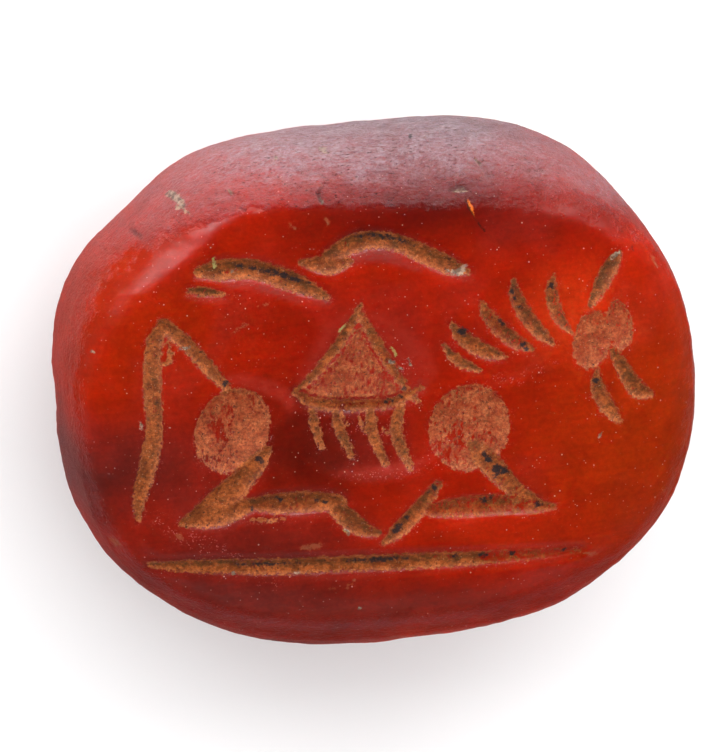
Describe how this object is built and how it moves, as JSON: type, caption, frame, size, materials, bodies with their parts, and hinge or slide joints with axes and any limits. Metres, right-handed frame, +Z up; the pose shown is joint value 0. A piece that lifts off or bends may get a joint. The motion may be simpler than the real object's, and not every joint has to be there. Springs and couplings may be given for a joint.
{
  "type": "scaraboid seal",
  "caption": "Ancient carnelian scaraboid stamp seal: flat engraved face with a recumbent animal, domed back, drilled lengthwise for a string.",
  "frame": {"origin": "middle of the outline, on the small flat spot of the domed back that the seal lies on", "axes": "+Z up and out of the engraved face, +X along the stone from the animal's tail to its head, +Y towards the top of the design"},
  "size_m": [0.0202, 0.0164, 0.0105],
  "materials": {
    "carnelian": "worn polished translucent carnelian, satin on the sides, with earth deposit in the engraving"
  },
  "bodies": {
    "root": {"seal_stone": "carnelian"}
  },
  "joints": []
}
